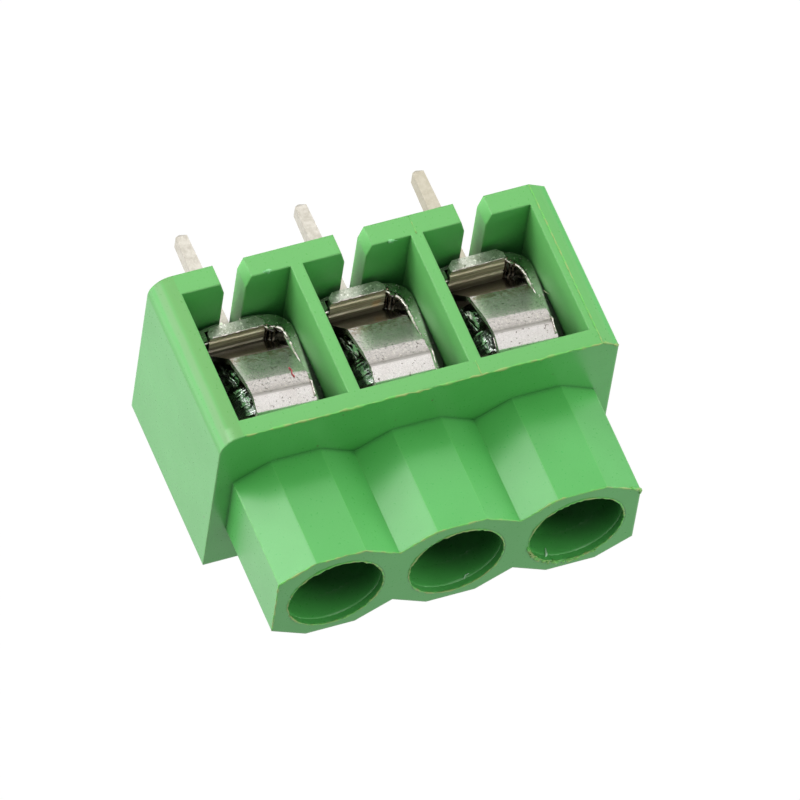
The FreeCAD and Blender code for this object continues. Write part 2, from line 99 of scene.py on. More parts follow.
lens = bpy.data.cameras.new("camera")
lens.lens = LENS
lens.sensor_width = 36.0
lens.clip_start = 0.05
lens.clip_end = 5.0
camera = bpy.data.objects.new("camera", lens)
bpy.context.scene.collection.objects.link(camera)
place = (LOOK_AT + TO_RIGHT * OFF_CENTRE[0] + TO_BOTTOM * OFF_CENTRE[1]
         - INTO_PICTURE * CAMERA_DISTANCE)
turn = Matrix((TO_RIGHT, -TO_BOTTOM, -INTO_PICTURE)).transposed().to_4x4()
camera.matrix_world = Matrix.Translation(place) @ turn
bpy.context.scene.camera = camera
print("camera at", [round(c, 3) for c in place])

# %% [markdown]
# A material is a graph of nodes. Written out node by node it hides the idea, so three
# small classes stand between. Signal wraps one output and lets it be used in plain
# arithmetic, each operator adding one Math node. Graph adds any other node, to a material
# or to the world. Finish is the graph of a material, with the steps that many share.

# %% Signals
class Signal:
    """One output of a node, used like a number."""

    def __init__(self, graph, socket):
        self.graph = graph
        self.socket = socket

    def maths(self, operation, *values):
        """A Math node on up to three values."""
        return self.graph.add("Math", {"operation": operation}, dict(enumerate(values)))

    def __add__(self, other):
        return self.maths("ADD", self, other)

    def __radd__(self, other):
        return self.maths("ADD", other, self)

    def __sub__(self, other):
        return self.maths("SUBTRACT", self, other)

    def __rsub__(self, other):
        return self.maths("SUBTRACT", other, self)

    def __mul__(self, other):
        return self.maths("MULTIPLY", self, other)

    def __rmul__(self, other):
        return self.maths("MULTIPLY", other, self)

    def __gt__(self, other):
        return self.maths("GREATER_THAN", self, other)

    def __lt__(self, other):
        return self.maths("LESS_THAN", self, other)

    def __abs__(self):
        return self.maths("ABSOLUTE", self)

    def wrapped(self, low, high):
        """Brought back between low and high by whole steps, both in mm."""
        return self.maths("WRAP", self, high * MM, low * MM)

    def ramp(self, low, high):
        """0 below low, 1 above high, smooth between; high may be the smaller one."""
        settings = {"interpolation_type": "SMOOTHSTEP"}
        if low <= high:
            return self.graph.add("MapRange", settings,
                                  {"Value": self, "From Min": low, "From Max": high})
        return 1 - self.graph.add("MapRange", settings,
                                  {"Value": self, "From Min": high, "From Max": low})

    def fade(self, low, high):
        """The same ramp, for a place and its limits in mm."""
        return self.ramp(low * MM, high * MM)


print("signals can be added, scaled and compared")

# %% Graphs
class Graph:
    """The nodes of a material or of the world."""

    def __init__(self, tree):
        self.tree = tree

    def plug(self, socket, value):
        """Link a signal to a socket, or set the socket to a plain value."""
        if isinstance(value, Signal):
            self.tree.links.new(value.socket, socket)
        elif isinstance(value, (tuple, list)) and socket.type == "RGBA":
            socket.default_value = (*value, 1.0)[:4]
        else:
            socket.default_value = value

    def add(self, kind, settings=None, inputs=None, output=0):
        """Add a node: settings first, then its sockets. Returns one output."""
        node = self.tree.nodes.new("ShaderNode" + kind)
        for key, value in (settings or {}).items():
            setattr(node, key, value)
        for key, value in (inputs or {}).items():
            self.plug(node.inputs[key], value)
        return Signal(self, node.outputs[output])

    def white_share(self, to_camera=1.0):
        """How white a ray sees the surroundings: nothing of it for a diffuse ray."""
        seen = self.add("LightPath", output="Is Camera Ray")
        mirrored = self.add("LightPath", output="Is Glossy Ray")
        passed = self.add("LightPath", output="Is Transmission Ray")
        return seen * to_camera + mirrored + passed


print("graphs can be drawn")

# %% Finishes
EDGE_TURN = (0.995, 0.9)


class Finish(Graph):
    """The graph of a material, which ends in one surface."""

    def __init__(self, name, **values):
        self.material = bpy.data.materials.new(name)
        self.material.use_nodes = True
        super().__init__(self.material.node_tree)
        self.surface = self.tree.nodes["Principled BSDF"]
        for key, value in values.items():
            self.surface.inputs[key.replace("_", " ").title()].default_value = value

    def blend(self, share, colour, other):
        """A colour that goes from colour to other as share goes from 0 to 1.

        The Mix node keeps its colours in sockets 6 and 7, and gives the result in output 2.
        """
        return self.add("Mix", {"data_type": "RGBA"}, {0: share, 6: colour, 7: other}, 2)

    def noise(self, place, per_mm, detail=3.0, roughness=0.55):
        """A cloudy value about 0.5, with so many clouds in a millimetre."""
        return self.add("TexNoise", {}, {"Vector": place, "Scale": per_mm / MM,
                                         "Detail": detail, "Roughness": roughness})

    def place(self):
        """Where a point of the surface is, in the part's own axes."""
        return self.add("TexCoord", output="Object")

    def stretched(self, place, x=1.0, y=1.0, z=1.0):
        """A place with its axes scaled: a small factor draws a pattern out along its axis."""
        return self.add("Mapping", {}, {"Vector": place, "Scale": (x, y, z)})

    def axis(self, vector, name):
        """One number of a vector, by the name X, Y or Z."""
        return self.add("SeparateXYZ", {}, {"Vector": vector}, "XYZ".index(name))

    def across_pole(self, place):
        """X from the middle of each pole, so that one mask serves all three."""
        return self.axis(place, "X").wrapped(-PITCH / 2, PITCH / 2)

    def near(self, place, centre, radius, edge=0.5):
        """1 close to a point given in mm, 0 beyond the radius, fading from edge outwards."""
        there = tuple(length * MM for length in centre)
        far = self.add("VectorMath", {"operation": "DISTANCE"}, {0: place, 1: there}, "Value")
        return far.fade(radius, radius * edge)

    def facing(self):
        """The direction that the surface faces."""
        return self.add("NewGeometry", output="Normal")

    def openness(self, reach, samples=6):
        """1 where nothing stands within reach in mm, 0 where the surface is closed in."""
        return self.add("AmbientOcclusion", {"samples": samples}, {"Distance": reach * MM}, "AO")

    def edges(self, rounded):
        """1 along sharp edges: where the rounded normal leaves the true one."""
        along = self.add("VectorMath", {"operation": "DOT_PRODUCT"},
                         {0: rounded, 1: self.facing()}, "Value")
        return along.ramp(*EDGE_TURN)

    def bump(self, height, depth_mm, normal=None):
        """A normal that makes the surface look raised by up to a depth."""
        inputs = {"Height": height, "Strength": 1.0, "Distance": depth_mm * MM}
        if normal is not None:
            inputs["Normal"] = normal
        return self.add("Bump", {}, inputs)

    def show(self, socket, value):
        """Give the surface a value by the name of its socket."""
        self.plug(self.surface.inputs[socket], value)


print("finishes can be mixed")

# %% [markdown]
# The photograph was taken in a white tent: a broad soft light above and behind the part,
# white all round, and a ground so bright that it shows no shadow. The ground here lies
# well below the pins, level, so that the part can be looked at from every side. Camera,
# glossy and transmission rays see ground and world as plain white, and diffuse rays get
# the plainer level that lights the part.

# %% World
SURROUND = 0.3
WHITE = (1.0, 1.0, 1.0)
world = bpy.data.worlds.new("tent")
bpy.context.scene.world = world
world.use_nodes = True
tent = Graph(world.node_tree)
level = tent.add("MapRange", {}, {"Value": tent.white_share(), "To Min": SURROUND, "To Max": 1.0})
background = tent.tree.nodes["Background"]
tent.plug(background.inputs["Color"], WHITE)
tent.plug(background.inputs["Strength"], level)
bpy.context.scene.view_settings.view_transform = "Standard"
print("world lights at", SURROUND)

# %% Ground
GROUND = -120.0
SPREAD = 3000.0
GLOW = 1.06
GLOW_SEEN = 0.93
mesh = bpy.data.meshes.new("ground")
half = SPREAD * MM / 2
corners = [(-half, -half), (half, -half), (half, half), (-half, half)]
mesh.from_pydata([(x, y, GROUND * MM) for x, y in corners], [], [(0, 1, 2, 3)])
ground = bpy.data.objects.new("ground", mesh)
bpy.context.scene.collection.objects.link(ground)

card = Finish("white_card", base_color=(0.9, 0.9, 0.9, 1.0), roughness=0.9)
glow = card.add("Emission", {}, {"Color": WHITE, "Strength": GLOW})
clear = card.add("BsdfTransparent")
from_below = card.add("NewGeometry", output="Backfacing")
lit = Signal(card, card.surface.outputs[0])
upper_side = card.add("MixShader", {}, {0: card.white_share(GLOW_SEEN), 1: lit, 2: glow})
both_sides = card.add("MixShader", {}, {0: from_below, 1: upper_side, 2: clear})
card.plug(card.tree.nodes["Material Output"].inputs["Surface"], both_sides)
ground.data.materials.append(card.material)
print("ground at", GROUND, "mm")

# %% [markdown]
# Eight soft boxes stand in the tent. Small lamps would draw hard glints on the steel, and
# large ones close by give the broad calm reflections that such photographs have. Two
# keys and the near one stand on the pins' side and shine into the windows, the overhead
# one lights the rear faces, the two on the left are what the rounded left edge mirrors,
# and the two on the right light the towers. The near one is kept out of all mirrors, or
# the bent sheets would show it as a white bar.

# %% Soft boxes
BOX_DISTANCE = 110.0
NEAR_DISTANCE = 80.0


def soft_box(name, direction, width, height, radiance, distance=BOX_DISTANCE):
    """A soft light that faces the part from a direction, at a radiance of white 1."""
    lamp = bpy.data.lights.new(name, "AREA")
    lamp.shape = "RECTANGLE"
    lamp.size = width * MM
    lamp.size_y = height * MM
    lamp.energy = radiance * math.pi * lamp.size * lamp.size_y
    box = bpy.data.objects.new(name, lamp)
    bpy.context.scene.collection.objects.link(box)
    away = Vector(direction).normalized()
    turn = away.to_track_quat("Z", "Y").to_matrix().to_4x4()
    box.matrix_world = Matrix.Translation(LOOK_AT + away * distance * MM) @ turn
    box.visible_camera = False
    return box


soft_box("key_left", (-0.50, 0.70, -0.50), 80, 36, 2.3)
soft_box("key_right", (0.12, 0.83, -0.54), 66, 32, 1.3)
near_up = soft_box("near_up", (0.0, 0.60, -0.80), 60, 34, 3.5, NEAR_DISTANCE)
near_up.visible_glossy = False
soft_box("left_window", (-0.70, 0.65, -0.28), 60, 60, 3.4)
soft_box("left_fill", (-0.95, -0.10, -0.20), 100, 100, 2.0)
soft_box("overhead", (-0.10, 0.95, 0.28), 80, 60, 1.9)
soft_box("right_side", (0.85, 0.50, -0.10), 60, 60, 3.8)
soft_box("right_top", (0.75, 0.10, 0.65), 80, 80, 2.0)

# %% [markdown]
# The housing is moulded in green polyamide, coloured right through. Its surface is
# satin: a soft mirror at a glancing angle, which is why the left side looks so pale.
# Plain colour would look dead, so the green drifts a little, the mould's texture gives a
# fine grain, sharp edges are rounded in the shading and painted lighter and a touch
# yellower, a painted highlight, creases get a little painted shade, and small brown specks
# lie where the photograph shows them.
# Each step is a mask from 0 to 1, times the share of its colour at full strength.

# %% Moulded green
SPECKS = [(0.55, 3.3, 7.9, 0.07), (-3.2, 3.9, 7.9, 0.06), (-7.2, 1.2, 11.9, 0.09),
          (2.4, 4.2, 7.3, 0.05), (-6.1, 4.2, 7.6, 0.05), (5.6, 2.9, 7.9, 0.06),
          (-4.1, 2.2, 7.9, 0.07), (-0.9, 2.6, 7.9, 0.07), (-8.25, -1.5, 7.4, 0.06)]
EDGE_ROUNDING = 0.11
CREASE_REACH = 0.35


def grained(finish, place, grain):
    """The plain green, drifting a little and darker in its grain."""
    drift = finish.noise(place, 0.35, 2.0)
    green = finish.blend(drift.ramp(0.3, 0.7), (0.078, 0.408, 0.083), (0.090, 0.446, 0.097))
    return finish.blend(grain.ramp(0.35, 0.75) * 0.15, green, (0.058, 0.37, 0.068))


def edged(finish, green):
    """Painted shade in creases, a painted highlight on edges, and the normal that rounds those edges."""
    rounded = finish.add("Bevel", {"samples": 6}, {"Radius": EDGE_ROUNDING * MM})
    openness = finish.openness(CREASE_REACH)
    # Painted shade: where the surface is closed in, in creases, it is painted darker.
    green = finish.blend(openness.ramp(0.72, 0.5) * 0.65, green, (0.02, 0.14, 0.03))
    convex = openness.ramp(0.8, 0.95)
    worn = finish.add("Mix", {"data_type": "VECTOR"}, {0: convex, 4: finish.facing(), 5: rounded}, 1)
    # Painted highlight: convex edges are painted lighter and a touch yellower.
    green = finish.blend(convex * finish.edges(rounded) * 0.7, green, (0.24, 0.64, 0.20))
    return green, worn


def specked(finish, place, green):
    """Small brown specks with ragged outlines."""
    ragged = finish.noise(place, 12.0, 2.0)
    for x, y, z, size in SPECKS:
        speck = finish.near(place, (x, y, z), size, 0.3) * ragged.ramp(0.35, 0.5)
        green = finish.blend(speck * 0.85, green, (0.10, 0.08, 0.03))
    return green


print(len(SPECKS), "specks placed")

# %% [markdown]
# The hollows of the housing differ from its outside. The screwdriver bores lose their
# light with depth, and sooner on their right side: painted shade. The window walls are
# dull where the mould's cores drew them, those facing along the row are painted pale, a
# painted light, and their far corners get painted shade. The rear faces get a painted
# yellowish sheen, and the rounded left edge a pale and a rich streak of painted
# reflection, which waver as the mould does. Lamps alone could make the dark, but not this
# steeply.

# %% Hollows and streaks
BORE_ZONE = 2.05
BORE_LIGHT = 12.4
BORE_DARK = 10.4
BORE_SLANT = 0.75
BORE_LOW = 7.0
TOWER_INSIDE = 7.3
CORED_DEPTH = 4.17
CORED_HEIGHT = 7.3
CORED_WIDTH = 7.9
NOOK_REACH = 1.8
SHEEN_DEPTH = 3.9
CORNER_SIDE = -7.3
CORNER_DEPTH = 3.25
CORNER_HEIGHT = 7.85
WAVER = 0.12
PALE_SIDES = ((-8.06, -7.96), (-7.70, -7.84))
RICH_SIDES = ((-7.76, -7.62), (-8.0, -8.1))


def bored(finish, place, green):
    """The bores' walls, painted darker with depth: painted shade."""
    aside = finish.across_pole(place)
    behind = finish.axis(place, "Y") - SCREW_LINE * MM
    upwards = finish.axis(place, "Z")
    in_towers = (abs(finish.axis(place, "X")) < TOWER_INSIDE * MM) * (upwards > BORE_LOW * MM)
    in_bore = (aside * aside + behind * behind < (BORE_ZONE * MM) ** 2) * in_towers
    # Painted shade: deeper in a bore, and sooner on its right side, the wall is painted dark.
    deep = (upwards - aside * BORE_SLANT).fade(BORE_LIGHT, BORE_DARK)
    return finish.blend(in_bore * deep * 0.8, green, (0.010, 0.045, 0.014))


def window_light_and_shade(finish, place, green):
    """Painted light on side walls, painted shade in far corners, and the mask of what the cores touched.
    """
    inside = ((finish.axis(place, "Y") < CORED_DEPTH * MM) * (finish.axis(place, "Z") < CORED_HEIGHT * MM)
              * (abs(finish.axis(place, "X")) < CORED_WIDTH * MM))
    # Painted light: window walls facing along the row are painted paler.
    drawn = inside * abs(finish.axis(finish.facing(), "X")).ramp(0.6, 0.9)
    green = finish.blend(drawn * 0.7, green, (0.20, 0.62, 0.18))
    # Painted shade: the closed-in far corners of the windows are painted dark.
    nook_shade = inside * finish.openness(NOOK_REACH).ramp(0.62, 0.28)
    return finish.blend(nook_shade * 0.75, green, (0.012, 0.07, 0.016)), inside


def streaked(finish, place, green):
    """Painted sheen on the rear faces and painted reflection streaks on the left rounding."""
    across = finish.axis(place, "X")
    outwards = finish.axis(place, "Y")
    # Painted sheen: faces turned to the rear are painted a yellower, greyer green.
    rear_sheen = (outwards > SHEEN_DEPTH * MM) * finish.axis(finish.facing(), "Y").ramp(0.5, 0.9)
    green = finish.blend(rear_sheen * 0.8, green, (0.108, 0.385, 0.088))
    corner = ((across < CORNER_SIDE * MM) * (outwards > CORNER_DEPTH * MM)
              * (finish.axis(place, "Z") < CORNER_HEIGHT * MM))
    along_edge = finish.stretched(place, 0.0, 0.0, 1.0)
    wavering = across + finish.noise(along_edge, 0.5, 2.0) * (WAVER * MM)
    # Painted reflection: a pale and a rich streak along the left rounding.
    pale = wavering.fade(*PALE_SIDES[0]) * wavering.fade(*PALE_SIDES[1])
    rich = wavering.fade(*RICH_SIDES[0]) + wavering.fade(*RICH_SIDES[1]) * 0.4
    green = finish.blend(corner * pale * 0.55, green, (0.20, 0.37, 0.165))
    return finish.blend(corner * rich * 0.6, green, (0.115, 0.33, 0.077))


def green_plastic():
    """The housing's finish: all the steps in their order."""
    finish = Finish("green_polyamide")
    place = finish.place()
    grain = finish.noise(place, 9.0, 3.0)
    green, worn = edged(finish, grained(finish, place, grain))
    green = bored(finish, place, specked(finish, place, green))
    green, inside = window_light_and_shade(finish, place, green)
    finish.show("Base Color", streaked(finish, place, green))
    finish.show("Roughness", 0.24 + grain * 0.1 + inside * 0.2)
    swell = finish.bump(finish.noise(place, 0.9, 1.0), 0.01, worn)
    finish.show("Normal", finish.bump(grain, 0.001, swell))
    return finish.material


PLASTIC = green_plastic()
print("made", PLASTIC.name)

# %% [markdown]
# Where the mould's halves meet, and round its cores, a film of plastic squeezed out: a
# fine raised line, ragged, yellowish, and brown where it was scorched. It is a thin tube
# laid along the edge with an uneven thickness, and so are the burrs on the steel, the
# folds beside the contact, the glint lines on the screws and the fibres of dust. A texture
# could paint them, but only a raised line catches the light as they do.

# %% Finishes of the lines
def mottled(name, light, dark, roughness, metallic=0.0, per_mm=5.0):
    """A finish in two colours that take turns in small spots."""
    finish = Finish(name, roughness=roughness, metallic=metallic)
    spots = finish.noise(finish.place(), per_mm, 2.0)
    finish.show("Base Color", finish.blend(spots.ramp(0.4, 0.62), light, dark))
    return finish.material


FLASH = mottled("scorched_flash", (0.13, 0.50, 0.09), (0.27, 0.43, 0.12), 0.45, 0.0, 2.2)
SCUFF = mottled("scuffed_plastic", (0.24, 0.56, 0.26), (0.12, 0.44, 0.14), 0.6)
# Painted highlight: the nicks in the bores are raised lines painted pale so that they shine.
NICK_HIGHLIGHT = mottled("pale_nick_highlight", (0.70, 0.92, 0.72), (0.45, 0.75, 0.48), 0.3)
BURR = mottled("bright_burr", (0.70, 0.65, 0.62), (0.42, 0.39, 0.34), 0.35, 1.0, 9.0)
# Painted shade: the folds' creases are tubes of near-black metal.
FOLD_SHADE = mottled("dark_fold", (0.30, 0.25, 0.18), (0.10, 0.08, 0.05), 0.35, 1.0, 7.0)
# Painted glint: the raised lines on the screw points are near-white metal.
SHINE = mottled("painted_glint", (0.97, 1.0, 0.98), (0.70, 0.85, 0.78), 0.14, 1.0, 4.0)
RED_FIBRE = mottled("red_fibre", (0.42, 0.05, 0.06), (0.30, 0.04, 0.05), 0.7)
PALE_FIBRE = mottled("pale_fibre", (0.60, 0.62, 0.40), (0.40, 0.50, 0.28), 0.7)
print("made", [m.name for m in (FLASH, SCUFF, NICK_HIGHLIGHT, BURR, FOLD_SHADE, SHINE, RED_FIBRE, PALE_FIBRE)])

# %% Ragged lines
def resampled(points, step):
    """Points at even steps along a line through the given points."""
    result = []
    for start, end in zip(points, points[1:]):
        start, end = Vector(start), Vector(end)
        count = max(int((end - start).length / step), 1)
        result += [start.lerp(end, i / count) for i in range(count)]
    return result + [Vector(points[-1])]


def tube(name, points, radii, sides=6):
    """A closed mesh tube in mm along points, with one radius at each."""
    bm = bmesh.new()
    rings = []
    aside = None
    for index, (point, radius) in enumerate(zip(points, radii)):
        before = points[max(index - 1, 0)]
        after = points[min(index + 1, len(points) - 1)]
        along = (after - before).normalized()
        aside = along.orthogonal() if aside is None else aside - along * aside.dot(along)
        aside = aside.normalized()
        other = along.cross(aside)
        ring = []
        for side in range(sides):
            angle = 2 * math.pi * side / sides
            offset = aside * math.cos(angle) + other * math.sin(angle)
            ring.append(bm.verts.new((point + offset * radius) * MM))
        rings.append(ring)
    skin_rings(bm, rings)
    return finished(name, bm)


def skin_rings(bm, rings):
    """Faces between rings of equal count, and one face on each end."""
    sides = len(rings[0])
    for low, high in zip(rings, rings[1:]):
        for side in range(sides):
            following = (side + 1) % sides
            bm.faces.new((low[side], low[following], high[following], high[side]))
    bm.faces.new(list(reversed(rings[0])))
    bm.faces.new(rings[-1])


def finished(name, bm):
    """Turn the drawn faces into an object of the scene."""
    mesh = bpy.data.meshes.new(name)
    bm.to_mesh(mesh)
    bm.free()
    mesh.shade_smooth()
    piece = bpy.data.objects.new(name, mesh)
    bpy.context.scene.collection.objects.link(piece)
    return piece


def ragged_line(name, points, thickness, ragged, seed, material, step=0.12,
                body="terminal"):
    """A raised, uneven line that rides on a body."""
    chance = random.Random(seed)
    line = resampled(points, step)
    wander = thickness * ragged * 0.7
    line = [p + Vector([chance.uniform(-wander, wander) for _ in range(3)]) for p in line]
    radii = [thickness * (1 + ragged * chance.uniform(-1, 1)) for _ in line]
    piece = tube(name, line, radii, 5)
    piece.data.materials.append(material)
    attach(piece, body)
    return piece


print("lines can be laid")

# %% [markdown]
# Flash lies on the rim of the right end, on the edge where body and towers meet the
# rear, on the last partition, round the towers and round each bore's mouth. Just inside
# each mouth the moulding swelled a little: a low smooth ring that catches the light. It
# is a mesh of its own, sunk into the bore's wall at both its ends, so no step shows.

# %% Lips of the bores
TOWER_REAR = 1.98
TOWER_FLAT = 1.02
TOWER_CUT = 0.82
TOWER_CORNER = TOWER_REAR - TOWER_CUT
LIP_MIDDLE = 0.5


def tower_rim():
    """Corners of the tower row's rear edge, from left to right."""
    corners = [(-TOWER_SIDE, TOWER_CORNER)]
    for pole in POLES:
        middle = pole_place(pole)
        corners += [(middle - TOWER_FLAT, TOWER_REAR), (middle + TOWER_FLAT, TOWER_REAR),
                    (middle + PITCH / 2, TOWER_CORNER)]
    return [(x, y, TOWER_TOP - 0.01) for x, y in corners]


def ring_points(middle, radius, height, start, end, count=48):
    """Points on a circle about a screw's axis, from one angle to another in degrees."""
    angles = [math.radians(start + (end - start) * i / count) for i in range(count + 1)]
    return [(middle + radius * math.cos(a), SCREW_LINE + radius * math.sin(a), height)
            for a in angles]


LIP = [(-1.15, -0.06), (-1.0, -0.01), (-0.75, 0.006), (-0.4, 0.022), (-0.08, 0.036), (0.14, 0.024),
       (0.24, 0.0), (0.3, -0.06)]


def swollen_lip(pole, sides=96):
    """A low round swelling inside a bore's mouth, one ring for each height in LIP."""
    bm = bmesh.new()
    rings = []
    for rise, inwards in LIP:
        height = TOWER_TOP - LIP_MIDDLE + rise
        ring = ring_points(pole_place(pole), BORE - inwards, height, 0, 360, sides)
        rings.append([bm.verts.new(Vector(p) * MM) for p in ring[:-1]])
    for low, high in zip(rings, rings[1:] + rings[:1]):
        for side in range(sides):
            following = (side + 1) % sides
            bm.faces.new((low[side], low[following], high[following], high[side]))
    bmesh.ops.recalc_face_normals(bm, faces=bm.faces)
    lip = finished(f"lip_{pole}", bm)
    lip.data.materials.append(PLASTIC)
    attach(lip, "terminal")


print("a lip has", len(LIP), "rings and stands", max(inwards for _, inwards in LIP), "mm in")

# %% Flash on the housing
PARTING = 7.54
PARTITION = PITCH / 2

ragged_line("flash_right_rim", [(PARTING, REAR, 0.02), (PARTING, REAR, TOP)], 0.028, 0.4, 1, FLASH)
ragged_line("flash_body_edge", [(-7.3, REAR, TOP), (PARTING, REAR, TOP)], 0.04, 0.8, 2, FLASH,
            step=0.2)
ragged_line("flash_body_corner", [(PARTING, REAR, TOP), (8.23, 3.78, TOP)], 0.045, 0.8, 3, FLASH)
ragged_line("flash_partition_low", [(PARTITION, REAR, 7.2), (PARTITION, REAR, TOP)],
            0.022, 0.5, 4, FLASH)
ragged_line("flash_partition_high", [(PARTITION, REAR, 0.02), (PARTITION, REAR, 0.9)],
            0.018, 0.5, 5, FLASH)
ragged_line("flash_tower_rim", tower_rim(), 0.035, 0.6, 6, FLASH, step=0.2)
ragged_line("flash_tower_side", [(-TOWER_SIDE, TOWER_CORNER, TOWER_TOP), (-TOWER_SIDE, -1.9, TOWER_TOP)],
            0.03, 0.6, 7, FLASH, step=0.2)
ragged_line("flash_tower_corner", [(7.1, 1.4, TOWER_TOP), (TOWER_SIDE, TOWER_CORNER, TOWER_TOP),
                                   (TOWER_SIDE, 0.9, TOWER_TOP)], 0.06, 0.7, 8, FLASH, step=0.08)
for pole in POLES:
    rim = ring_points(pole_place(pole), BORE, TOWER_TOP, 0, 358, 90)
    ragged_line(f"flash_mouth_{pole}", rim, 0.03, 0.7, 10 + pole, FLASH, step=0.1)
    swollen_lip(pole)
low_left = ring_points(pole_place(3), BORE + 0.06, TOWER_TOP, 190, 300)
ragged_line("flash_mouth_3_wide", low_left, 0.06, 0.9, 30, FLASH, step=0.1)
print("flash laid on rims and mouths")

# %% Scuffs and ticks
ragged_line("scuff_lug_2", [(-3.95, 4.18, 0.9), (-3.5, 4.19, 0.88)], 0.06, 0.9, 31, SCUFF, step=0.06)
ragged_line("scuff_lug_3", [(1.35, 4.17, 0.92), (1.7, 4.18, 0.95)], 0.05, 0.9, 32, SCUFF, step=0.06)
TICKS = {1: [(-1.30, -1.93, 11.75), (-1.24, -2.0, 11.55), (-1.1, -2.08, 11.2)],
         2: [(0.63, -2.31, 12.62), (0.73, -2.28, 12.5), (0.86, -2.22, 12.52)],
         3: [(-1.02, -2.12, 12.72), (-0.95, -2.16, 12.6), (-0.88, -2.19, 12.3)]}
# Each nick is a raised line painted pale: a painted highlight.
for pole, marks in TICKS.items():
    marks = [(pole_place(pole) + x, y, z) for x, y, z in marks]
    ragged_line(f"tick_{pole}", marks, 0.04, 0.4, 40 + pole, NICK_HIGHLIGHT, step=0.08)
print("scuffs and ticks laid")

# %% [markdown]
# The metals are all plated steel or brass, and differ in how evenly they mirror. The
# guard is a satin sheet with small pits and a dull line at its bend. Below the bend it
# leans into the dark, painted as shade, speckled with dust, then soiled, and its foot is
# nearly black. The height on the part decides all this, so the masks are ramps along Z.

# %% Satin sheet of the wire guards
GUARD_BEND = 6.0
SOIL_TOP = 4.4
FOOT_TOP = 3.5


def satin_sheet():
    """Satin facing the light, painted shade below the bend, a dull bend, dust, soil and a dark foot."""
    finish = Finish("satin_sheet", metallic=1.0)
    place = finish.place()
    mottle = finish.noise(place, 1.4, 4.0)
    fine = finish.noise(place, 14.0, 3.0)
    upwards = finish.axis(place, "Z")
    colour = finish.blend(mottle.ramp(0.35, 0.7), (0.77, 0.735, 0.715), (0.70, 0.66, 0.635))
    # Painted shade: below the bend the leaf is painted darker, most just below it.
    leaning = upwards.fade(GUARD_BEND + 0.02, GUARD_BEND - 0.08)
    colour = finish.blend(leaning * 0.5, colour, (0.42, 0.40, 0.36))
    near_bend = upwards.fade(GUARD_BEND - 0.5, GUARD_BEND - 0.02) * leaning
    colour = finish.blend(near_bend * 0.45, colour, (0.26, 0.24, 0.21))
    dusted = finish.noise(place, 9.0, 4.0, 0.75)
    colour = finish.blend(leaning * dusted.ramp(0.54, 0.66) * 0.55, colour, (0.80, 0.78, 0.66))
    colour = finish.blend(leaning * dusted.ramp(0.45, 0.36) * 0.5, colour, (0.10, 0.12, 0.09))
    colour = finish.blend(fine.ramp(0.38, 0.68) * 0.22, colour, (0.38, 0.35, 0.31))
    pits = finish.noise(place, 6.5, 3.0, 0.7).ramp(0.61, 0.67)
    colour = finish.blend(pits * 0.8, colour, (0.13, 0.11, 0.09))
    crease = (upwards.fade(GUARD_BEND - 0.18, GUARD_BEND - 0.05)
              * upwards.fade(GUARD_BEND + 0.10, GUARD_BEND + 0.02))
    colour = finish.blend(crease * 0.75, colour, (0.20, 0.19, 0.17))
    blots = finish.noise(place, 5.0, 3.0, 0.7).ramp(0.42, 0.56)
    colour = finish.blend(upwards.fade(SOIL_TOP, FOOT_TOP) * blots * 0.8, colour, (0.26, 0.19, 0.11))
    foot = upwards.fade(FOOT_TOP, FOOT_TOP - 0.4)
    left_end = finish.across_pole(place).fade(-0.8, -1.05)
    colour = finish.blend(foot * 0.93, colour, (0.11, 0.09, 0.06))
    colour = finish.blend(foot * left_end * 0.9, colour, (0.05, 0.04, 0.03))
    finish.show("Base Color", colour)
    finish.show("Metallic", 0.84 + (mottle - 0.5) * 0.2 + foot * 0.1)
    finish.show("Roughness", 0.19 + (fine - 0.5) * 0.14 + crease * 0.3)
    finish.show("Normal", finish.bump(fine, 0.003))
    return finish.material


GUARD = satin_sheet()
print("made", GUARD.name)

# %% [markdown]
# The cage's strap mirrors the green walls round it, and is painted greener and darker
# towards the bottom: a painted reflection of them and painted shade. It is dark inside, and
# darkest along its right side, a painted shadow where a narrow gap to the wall lets no light
# in: the gap widens upwards, so the dark band does too.

# %% Strap steel of the cages
STRAP_SIDE = 2.37
STRAP_LEAN = 0.09


def strap_steel():
    """Plated strap with bright flecks, dark where no light reaches it."""
    finish = Finish("strap_steel", metallic=1.0)
    place = finish.place()
    upwards = finish.axis(place, "Z")
    mottle = finish.noise(place, 2.0, 4.0)
    fine = finish.noise(place, 14.0, 3.0)
    flecks = finish.noise(place, 8.0, 3.0, 0.7).ramp(0.6, 0.66)
    colour = finish.blend(mottle.ramp(0.35, 0.7), (0.60, 0.64, 0.55), (0.42, 0.45, 0.36))
    colour = finish.blend(flecks * 0.7, colour, (0.85, 0.82, 0.78))
    # Painted reflection and shade: the strap is painted greener and darker towards the bottom.
    colour = finish.blend(upwards.fade(2.7, 2.0) * 0.45, colour, (0.18, 0.26, 0.14))
    inside = finish.axis(place, "Y").fade(1.55, 1.2)
    colour = finish.blend(inside * 0.75, colour, (0.06, 0.06, 0.05))
    # Painted shadow: a dark band along the right side, widening upwards.
    outside = finish.across_pole(place) + upwards * STRAP_LEAN
    shut_in = outside.fade(STRAP_SIDE, STRAP_SIDE + 0.1)
    finish.show("Base Color", finish.blend(shut_in * 0.95, colour, (0.012, 0.02, 0.012)))
    finish.show("Roughness", 0.13 + (fine - 0.5) * 0.12 + flecks * 0.3)
    finish.show("Normal", finish.bump(fine, 0.004))
    return finish.material


CAGE = strap_steel()
print("made", CAGE.name)

# %% [markdown]
# The contact is brass under tin. Its rear face is bright and flecked, its ridged top warm
# and pale in front and painted dark behind, a painted shadow, and its pin dull below the
# board side, the third one yellower. One finish serves it all: height tells face from pin,
# and the direction that the surface faces tells the top.

# %% Tin of the contacts
PIN_START = 0.9
TOP_LIT = 1.45
TOP_DARK = 0.85
TIN_SPOT = (0.82, 1.3, 1.69)


